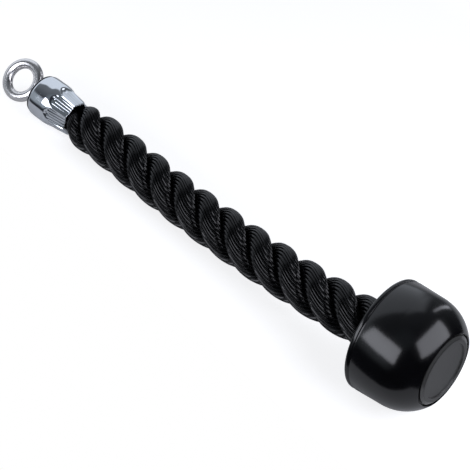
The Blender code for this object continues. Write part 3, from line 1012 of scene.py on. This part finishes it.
@dataclass
class Rope:
    """Three strands in a right-hand lay, each with a skin of yarns that twists the other way.

    Lengths along it are measured from the ferrule's mouth, and in_ball ones from the ball's rear
    face. Of a yarn's half width, furrow_share is the furrow beside it.
    """

    axis: RopeAxis
    ferrule: Ferrule
    # The strands.
    diameter: float = 27.0 * MM
    lay: float = 58.6 * MM
    strand_depth: float = 12.5 * MM
    strand_gap: float = 0.1 * MM
    strands: int = 3
    start_turn: float = math.radians(29.6)
    in_ferrule: float = 22.0 * MM
    in_ball: float = 29.6 * MM
    # What squeezes the rope at its ends.
    swell_length: float = 13.0 * MM
    gripped_radius: float = 12.8 * MM
    sleeved_radius: float = 12.2 * MM
    sleeve_from: float = 16.1 * MM
    ball_web: float = 13.5 * MM
    grip_ease: float = 8.0 * MM
    # The yarns, which number 24 a strand where the real ones number about 28, so that they show.
    yarns: int = 24
    yarn_turns_per_lay: float = -1.42
    yarn_depth: float = 0.80 * MM
    furrow_depth: float = 1.50 * MM
    furrow_share: float = 0.36
    points_per_yarn: int = 12
    ring_step: float = 1.3 * MM
    path_steps: int = 72

    @property
    def ends(self) -> tuple[float, float]:
        """Where the rope starts in the ferrule and ends in the ball."""
        return -self.in_ferrule, self.axis.free_length + self.in_ball

    def envelope(self, along: float) -> float:
        """Radius of the rope's envelope, squeezed where something holds it.

        Args:
            along: Distance from the ferrule's mouth.

        Returns:
            The radius.
        """
        in_ball = along - self.axis.free_length
        if along <= 0.0:
            return self.ferrule.rope_room(-along)
        if in_ball >= self.sleeve_from:
            return self.sleeved_radius
        if in_ball >= 0.0:
            narrowing = ease((in_ball - self.ball_web + self.grip_ease) / self.grip_ease)
            return blend(self.gripped_radius, self.sleeved_radius, narrowing)
        out = math.sin(min(along / self.swell_length, 1.0) * math.pi / 2)
        swollen = blend(self.ferrule.rope_room(0.0), self.diameter / 2, out)
        return blend(swollen, self.gripped_radius, ease((in_ball + self.grip_ease) / self.grip_ease))

    def section(self, radius: float, turn: float, ridge: float) -> Vector:
        """Point of a strand's skin in a plane across the rope.

        Args:
            radius: Radius of the rope's envelope there.
            turn: Angle round the strand, zero on its outside.
            ridge: Height that the yarn adds.

        Returns:
            The point as (0, outward, sideways).
        """
        half_depth = radius * self.strand_depth / self.diameter
        centre = radius - half_depth
        half_width = half_depth * math.hypot(1.0, math.tau * centre / self.lay)
        wall_angle = math.pi / self.strands
        wall = centre * math.sin(wall_angle) - self.strand_gap / 2
        outward, sideways = math.cos(turn), math.sin(turn)
        reach = 1.0 / math.hypot(outward / half_depth, sideways / half_width)
        to_wall = abs(sideways) * math.cos(wall_angle) - outward * math.sin(wall_angle)
        if to_wall > 0.0:
            reach = min(reach, wall / to_wall)
        reach += ridge
        return Vector((0.0, centre + reach * outward, reach * sideways))

    def ridge(self, share: float) -> float:
        """Height of a yarn's skin over its crest, which is nowhere above zero.

        Args:
            share: Share of the yarn's half width, zero on its crest and one between two yarns.

        Returns:
            The height.
        """
        if abs(share) > 1.0 - self.furrow_share:
            return -self.furrow_depth
        round_share = share * (1.0 - self.furrow_share / 2)
        return self.yarn_depth * (math.sqrt(1.0 - round_share ** 2) - 1.0)

    def skin_ring(self, along: float, strand: int, ridges: list[float]) -> list[Vector]:
        """Points round a strand in the plane across the rope.

        Args:
            along: Distance from the ferrule's mouth.
            strand: Number of the strand.
            ridges: Heights of a yarn's points.

        Returns:
            The points, each yarn's in turn.
        """
        around = self.yarns * self.points_per_yarn
        lay_turn = self.start_turn + math.tau * (along / self.lay + strand / self.strands)
        plane = self.axis.place(along) @ Matrix.Rotation(lay_turn, 4, "X")
        twist = math.tau * self.yarn_turns_per_lay * along / self.lay
        radius = self.envelope(along)
        points = []
        for k in range(around):
            turn = (math.tau * k / around + twist) % math.tau
            points.append(plane @ self.section(radius, turn, ridges[k % self.points_per_yarn]))
        return points

    def mesh(self) -> bpy.types.Mesh:
        """Makes the mesh of all strands, with a UV map of (yarn number, metres along).

        Returns:
            The mesh.
        """
        start, end = self.ends
        rings = math.ceil((end - start) / self.ring_step)
        stations = [blend(start, end, ring / rings) for ring in range(rings + 1)]
        around = self.yarns * self.points_per_yarn
        ridges = [self.ridge(2.0 * k / self.points_per_yarn - 1.0)
                  for k in range(self.points_per_yarn)]
        vertices: list[Vector] = []
        faces: list[tuple[int, ...]] = []
        uvs: list[tuple[float, float]] = []
        for strand in range(self.strands):
            base = len(vertices)
            for along in stations:
                vertices.extend(self.skin_ring(along, strand, ridges))
            for ring, (near, far) in enumerate(zip(stations, stations[1:])):
                low, high = base + ring * around, base + (ring + 1) * around
                for k in range(around):
                    after = (k + 1) % around
                    faces.append((low + k, low + after, high + after, high + k))
                    left, right = [strand * self.yarns + side / self.points_per_yarn
                                   for side in (k, k + 1)]
                    uvs.extend([(left, near), (right, near), (right, far), (left, far)])
            for ring in (0, rings):
                cap = tuple(base + ring * around + k for k in range(around))
                faces.append(cap if ring else cap[::-1])
                uvs.extend([(0.0, stations[ring])] * around)
        mesh = bpy.data.meshes.new("laid_rope")
        mesh.from_pydata(vertices, [], faces)
        layer = mesh.uv_layers.new(name=YARN_MAP)
        layer.data.foreach_set("uv", [value for pair in uvs for value in pair])
        mesh.validate()
        mesh.shade_smooth()
        return mesh

    def build(self, finish: bpy.types.Material) -> Pieces:
        """Args:
            finish: Finish of the rope.

        Returns:
            Its one piece.
        """
        piece = place_piece("laid_rope", self.mesh(), finish, Body.HANDLE)
        nodes = [f"rope_strand_{number}" for number in range(1, self.strands + 1)]
        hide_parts(*nodes)
        start, end = self.ends
        path = [self.axis.place(blend(start, end, step / self.path_steps)).translation
                for step in range(self.path_steps + 1)]
        return [piece]


@dataclass
class BallEnd:
    """Moulded rubber ball and the disc that closes it.

    Lengths along it are measured from the ball's rear face, which the rope enters. Angles that
    aren't given in radians are in degrees: where the bead ends, and above which the disc's edges
    stay sharp.
    """

    axis: RopeAxis
    # The ball: bore, bead and groove at the rear, tapered side, dome.
    radius: float = 31.3 * MM
    bore_radius: float = 13.1 * MM
    bore_edge: float = 1.2 * MM
    bore_steps: int = 8
    bead_width: float = 3.6 * MM
    bead_radius: float = 1.7 * MM
    bead_fall: float = 50.0
    bead_steps: tuple[int, int] = (10, 6)
    groove_width: float = 0.7 * MM
    groove_depth: float = 0.4 * MM
    side_length: float = 16.5 * MM
    taper: float = math.radians(2.1)
    dome_length: float = 38.15 * MM
    dome_rise: float = 0.82
    dome_draw: float = 1.8
    dome_steps: int = 40
    lip_width: float = 0.5 * MM
    web: float = 13.5 * MM
    cavity_radius: float = 17.5 * MM
    # The disc: ledge under the lip, chamfer, raised ring and dished middle.
    disc_radius: float = 19.8 * MM
    disc_thickness: float = 3.2 * MM
    disc_edge: float = 0.5 * MM
    disc_ledge: float = 2.2 * MM
    disc_chamfer: float = 1.8 * MM
    disc_drop: float = 1.0 * MM
    chamfer_top: tuple[float, float] = (0.18 * MM, 0.10 * MM)
    ring_inset: float = 0.2 * MM
    rim_inset: float = 0.05 * MM
    dish_radius: float = 15.5 * MM
    dish_slope: float = 0.35 * MM
    dish_depth: float = 0.60 * MM
    dish_steps: int = 8
    dish_hollow: float = 0.20 * MM
    hollow_steps: int = 12
    disc_groove: float = 0.5 * MM
    gap: float = 0.3 * MM
    disc_sharp: float = 12.0
    sides: int = 160

    @property
    def length(self) -> float:
        """Length of the ball with its disc."""
        return self.axis.ball_length

    def ball_outline(self) -> Outline:
        """Outline of the ball, from its bore out over the rim and shoulder to the cavity.

        Returns:
            Points as (along, radius).
        """
        groove_end = self.bead_width + self.groove_width
        shoulder = self.radius - (self.side_length - groove_end) * math.tan(self.taper)
        seat = self.disc_radius + self.disc_groove
        bore = arc((self.bore_edge, self.bore_radius + self.bore_edge), self.bore_edge,
                   270.0, 180.0, self.bore_steps)
        bead_centre = self.radius - self.bead_radius
        bead = arc((self.bead_radius, bead_centre), self.bead_radius, 180.0, 90.0,
                   self.bead_steps[0])
        bead += arc((self.bead_width - self.bead_radius, bead_centre), self.bead_radius, 90.0,
                    self.bead_fall, self.bead_steps[1])
        groove = [(self.bead_width, self.radius - self.groove_depth), (groove_end, self.radius)]
        dome = []
        for step in range(self.dome_steps + 1):
            angle = math.pi / 2 * step / self.dome_steps
            ahead = math.sin(angle) ** self.dome_rise
            inward = max(0.0, math.cos(angle)) ** self.dome_draw
            dome.append((blend(self.side_length, self.dome_length, ahead),
                         blend(seat + self.lip_width, shoulder, inward)))
        seat_to = self.length - self.disc_thickness - self.gap
        inside = [(self.dome_length - self.gap, seat), (seat_to, seat),
                  (seat_to, self.cavity_radius), (self.web, self.cavity_radius),
                  (self.web, self.bore_radius)]
        return bore + bead + groove + dome + inside

    @property
    def disc_rim(self) -> float:
        """Radius of the disc's rim, above the ledge that the ball's lip holds."""
        return self.disc_radius - self.disc_edge

    def disc_outline(self) -> Outline:
        """Outline of the disc: back, ledge, chamfer, raised ring and dished middle.

        Returns:
            Points as (along, radius), from the back's middle out and over the face.
        """
        back, face = self.length - self.disc_thickness, self.length
        ledge = self.length - self.disc_ledge
        ring = self.disc_rim - self.disc_chamfer
        outline = [(back, 0.0), (back, self.disc_radius), (ledge, self.disc_radius),
                   (ledge, self.disc_rim), (face - self.disc_drop, self.disc_rim),
                   (face - self.chamfer_top[1], ring + self.chamfer_top[0]),
                   (face, ring - self.ring_inset)]
        for step in range(self.dish_steps + 1):
            share = step / self.dish_steps
            outline.append((face - self.dish_depth * ease(share),
                            self.dish_radius - self.dish_slope * share))
        for step in range(1, self.hollow_steps + 1):
            share = 1.0 - step / self.hollow_steps
            outline.append((face - self.dish_depth - self.dish_hollow * (1.0 - share * share),
                            (self.dish_radius - self.dish_slope) * share))
        return outline

    def gets_painted_highlight(self, point: Vector) -> bool:
        """Tells whether a point of the disc lies on its chamfer or on the slope of its dish.

        Args:
            point: The point in the ball's own frame.

        Returns:
            True where the disc gets its painted highlight.
        """
        away = math.hypot(point.y, point.z)
        chamfer = self.disc_rim - self.disc_chamfer < away < self.disc_rim - self.rim_inset
        slope = self.dish_radius - self.dish_slope < away < self.dish_radius
        return (chamfer or slope) and point.x > self.length - self.disc_drop

    def build(self, rubber: bpy.types.Material, plastic: bpy.types.Material,
              painted_highlight: bpy.types.Material) -> Pieces:
        """Makes the ball and its disc in place of their CAD nodes.

        Args:
            rubber: Finish of the ball.
            plastic: Finish of the disc.
            painted_highlight: Paler finish of the disc's chamfer and of its dish's slope, a painted
                highlight.

        Returns:
            The ball and the disc.
        """
        place = self.axis.place(self.axis.free_length)
        mesh = lathe("ball_dressed", [self.ball_outline()] * self.sides, place)
        ball = place_piece("ball_dressed", mesh, rubber, Body.HANDLE)
        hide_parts("rubber_ball")
        mesh = lathe("disc_dressed", [self.disc_outline()] * self.sides, place, self.disc_sharp)
        disc = place_piece("disc_dressed", mesh, plastic, Body.HANDLE)
        # The chamfer and the dish's slope get the paler plastic, a painted highlight.
        finish_some(mesh, painted_highlight, place, self.gets_painted_highlight)
        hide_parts("end_disc")
        return [ball, disc]


@dataclass(frozen=True)
class InnerSteel:
    """Washers and sleeve inside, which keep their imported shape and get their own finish."""

    nodes: tuple[str, ...] = ("eye_washer", "thrust_washer", "rope_sleeve")

    def dress(self, finish: bpy.types.Material) -> Pieces:
        """Puts the finish on each piece.

        Args:
            finish: Finish of the pieces.

        Returns:
            The pieces.
        """
        pieces = [frame["nodes"][name] for name in self.nodes]
        for piece in pieces:
            piece.data.materials.clear()
            piece.data.materials.append(finish)
        return pieces


@dataclass(frozen=True)
class SoftBox:
    """Rectangular lamp that faces a point.

    Attributes:
        name: Name of the lamp.
        spot: Place of its middle in metres.
        aim: Point that it faces.
        size: Width and height in metres.
        radiance: Brightness of its face, where one shows as white.
        roll: Turn of the rectangle in degrees.
        tint: Colour of its light, a little cool.
    """

    name: str
    spot: Triple
    aim: Triple
    size: tuple[float, float]
    radiance: float
    roll: float = 0.0
    tint: str = "#f3f5ff"

    def build(self) -> None:
        """Makes the lamp."""
        lamp = bpy.data.lights.new(self.name, "AREA")
        lamp.shape = "RECTANGLE"
        lamp.size, lamp.size_y = self.size
        lamp.color = linear(self.tint)[:3]
        lamp.energy = self.radiance * math.pi * self.size[0] * self.size[1]
        thing = bpy.data.objects.new(self.name, lamp)
        bpy.context.scene.collection.objects.link(thing)
        away = Vector(self.spot) - Vector(self.aim)
        turned = away.to_track_quat("Z", "Y").to_matrix().to_4x4()
        turned = turned @ Matrix.Rotation(math.radians(self.roll), 4, "Z")
        thing.matrix_world = Matrix.Translation(Vector(self.spot)) @ turned


@dataclass(frozen=True)
class ZoneEdge:
    """Soft edge of a zone of the surroundings.

    Attributes:
        direction: Direction that leads into the zone.
        start: How far along it the zone sets in, from -1 to 1.
        end: How far along it the zone is full.
    """

    direction: Triple
    start: float
    end: float

    def build(self, tree: bpy.types.NodeTree, towards: bpy.types.NodeSocket) -> bpy.types.NodeSocket:
        """Adds the edge to the world's nodes.

        Args:
            tree: Node tree of the world.
            towards: Direction that is looked in.

        Returns:
            Share from zero outside the edge to one inside it.
        """
        run = add_node(tree, "ShaderNodeVectorMath", {
            "operation": "DOT_PRODUCT", 0: towards, 1: self.direction,
        }).outputs["Value"]
        return add_node(tree, "ShaderNodeMapRange", {
            "interpolation_type": "SMOOTHSTEP",
            "Value": run, "From Min": self.start, "From Max": self.end,
        }).outputs["Result"]


@dataclass(frozen=True)
class Zone:
    """Part of the surroundings that has a shade of its own inside all its edges."""

    shade: str
    edges: tuple[ZoneEdge, ...]

    def build(self, tree: bpy.types.NodeTree, towards: bpy.types.NodeSocket,
              behind: bpy.types.NodeSocket | Colour) -> bpy.types.NodeSocket:
        """Lays the zone's shade over what is behind it.

        Args:
            tree: Node tree of the world.
            towards: Direction that is looked in.
            behind: Colour without the zone.

        Returns:
            Colour with the zone.
        """
        share = self.edges[0].build(tree, towards)
        for edge in self.edges[1:]:
            share = add_node(tree, "ShaderNodeMath", {
                "operation": "MULTIPLY", 0: share, 1: edge.build(tree, towards),
            }).outputs[0]
        return add_node(tree, "ShaderNodeMix", {
            "data_type": "RGBA", "Factor": share,
            MIX_BASE: behind, MIX_OVER: linear(self.shade),
        }).outputs[MIX_RESULT]


@dataclass
class Studio:
    """Paper floor, soft boxes, surroundings and the camera of the photograph.

    The surroundings are a dim room, over which the zones are laid in order.
    """

    axis: RopeAxis
    # The camera, which looks at the rope's middle from a place beside it and is rolled a little.
    focal_pixels: float = 1308.2
    elevation: float = math.radians(39.894)
    azimuth: float = math.radians(33.387)
    roll: float = math.radians(15.762)
    distance: float = 718.6 * MM
    shift_right: float = 10.76 * MM
    shift_up: float = -1.51 * MM
    sensor: float = 36.0
    near_and_far: tuple[float, float] = (0.01, 20.0)
    # The floor, which ends in a corner near the ball, so that the ball's side mirrors none of it.
    floor_half: float = 3.0
    floor_corner: tuple[float, float] = (222.0 * MM, -60.0 * MM)
    floor_slant: float = -0.05
    # The surroundings.
    room_shade: str = "#2c2e33"
    zones: tuple[Zone, ...] = (
        # The lighter upper side, beyond the eye and to the back.
        Zone("#696d72", (ZoneEdge((-0.70, 0.45, 0.55), 0.10, 0.85),)),
        # The low backdrop, beyond the eye and to the front.
        Zone("#959ca3", (ZoneEdge((0.0, 0.0, -1.0), -0.50, -0.30),
                         ZoneEdge((0.0, 0.0, 1.0), -0.30, -0.10),
                         ZoneEdge((-0.839, -0.545, 0.0), 0.35, 0.80))),
        # The ceiling over the key box.
        Zone("#6a7177", (ZoneEdge((-0.056, -0.640, 0.766), 0.86, 0.99),)),
        # The pale wall beyond the eye.
        Zone("#e2e8f2", (ZoneEdge((-0.567, 0.724, -0.392), -0.02, 0.08),
                         ZoneEdge((-0.906, -0.423, 0.0), -0.08, 0.10),
                         ZoneEdge((0.0, 0.0, -1.0), -0.90, -0.82),
                         ZoneEdge((0.0, 0.0, 1.0), -0.06, 0.02))),
    )
    boxes: tuple[SoftBox, ...] = (
        SoftBox("key_box", spot=(-0.064, -0.42, 0.192), aim=(-0.004, 0.0, 0.14),
                size=(0.548, 0.262), radiance=3.7, roll=3.0),
        SoftBox("side_box", spot=(0.471, 0.057, 0.41), aim=(0.14, -0.02, 0.04),
                size=(0.66, 0.36), radiance=3.3, roll=-5.0),
        SoftBox("rim_box", spot=(0.064, 0.72, 0.39), aim=(0.14, 0.0, 0.05),
                size=(0.06, 0.66), radiance=2.6),
    )

    def camera(self) -> None:
        """Makes the camera at the photograph's viewpoint."""
        level = math.cos(self.elevation)
        back = Vector((math.sin(self.azimuth) * level, -math.cos(self.azimuth) * level,
                       math.sin(self.elevation)))
        right = Vector((math.cos(self.azimuth), math.sin(self.azimuth), 0.0))
        up = back.cross(right)
        side = math.cos(self.roll) * right + math.sin(self.roll) * up
        top = math.cos(self.roll) * up - math.sin(self.roll) * right
        middle = self.axis.place(self.axis.free_length / 2).translation
        spot = middle + self.distance * back + self.shift_right * right + self.shift_up * up
        lens = bpy.data.cameras.new("camera")
        lens.sensor_width = self.sensor
        lens.lens = self.sensor * self.focal_pixels / PHOTO_WIDTH
        lens.clip_start, lens.clip_end = self.near_and_far
        camera = bpy.data.objects.new("camera", lens)
        bpy.context.scene.collection.objects.link(camera)
        turned = Matrix((side, top, back)).transposed().to_4x4()
        camera.matrix_world = Matrix.Translation(spot) @ turned
        bpy.context.scene.camera = camera

    def floor(self, paper: bpy.types.Material) -> None:
        """Makes the sheet of paper that the object lies on.

        Args:
            paper: Finish of the sheet.
        """
        half = self.floor_half
        side, front = self.floor_corner
        corners = [(-half, front - (half + side) * self.floor_slant, 0.0), (side, front, 0.0),
                   (side - (half - front) * self.floor_slant, half, 0.0), (-half, half, 0.0)]
        mesh = bpy.data.meshes.new("floor_paper")
        mesh.from_pydata(corners, [], [(0, 1, 2, 3)])
        mesh.materials.append(paper)
        floor = bpy.data.objects.new("floor_paper", mesh)
        bpy.context.scene.collection.objects.link(floor)

    def surroundings(self) -> None:
        """Makes the world: white to the camera, and the room with its zones to everything else."""
        world = bpy.data.worlds.new("room")
        bpy.context.scene.world = world
        world.use_nodes = True
        tree = world.node_tree
        towards = add_node(tree, "ShaderNodeTexCoord").outputs["Generated"]
        shade = linear(self.room_shade)
        for zone in self.zones:
            shade = zone.build(tree, towards, shade)
        seen = add_node(tree, "ShaderNodeLightPath").outputs["Is Camera Ray"]
        shown = add_node(tree, "ShaderNodeMix", {
            "data_type": "RGBA", "Factor": seen, MIX_BASE: shade, MIX_OVER: linear(WHITE),
        }).outputs[MIX_RESULT]
        fill(tree, tree.nodes["Background"], {"Color": shown, "Strength": 1.0})

    def build(self) -> None:
        """Makes the whole studio."""
        self.camera()
        self.floor(BackdropPaper().build())
        self.surroundings()
        for box in self.boxes:
            box.build()
        bpy.context.scene.view_settings.view_transform = "Standard"


def report(pieces: Pieces) -> None:
    """Reports pieces that are done.

    Args:
        pieces: The pieces.
    """
    for piece in pieces:
        finishes = ", ".join(finish.name for finish in piece.data.materials)
        LOG.info("%s: %d faces in %s", piece.name, len(piece.data.polygons), finishes)


def main() -> None:
    """Builds the studio and every piece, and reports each."""
    logging.basicConfig(level=logging.INFO, format="%(name)s: %(message)s")
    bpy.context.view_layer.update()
    axis = RopeAxis()
    Studio(axis).build()
    LOG.info("studio built")
    ferrule = Ferrule(axis)
    report(Rope(axis, ferrule).build(FilamentNylon().build()))
    report(ferrule.build(Chrome.DRAWN.value.build(), SeamPaintedShade().build()))
    report(SwivelEye(axis, ferrule).build(Chrome.FORGED.value.build()))
    report(BallEnd(axis).build(MouldedRubber().build(), Plastic.MOULDED.value.build(),
                               Plastic.PAINTED_HIGHLIGHT.value.build()))
    report(InnerSteel().dress(ZincSteel().build()))
    LOG.info("sizes written")


if __name__ == "__main__":
    main()
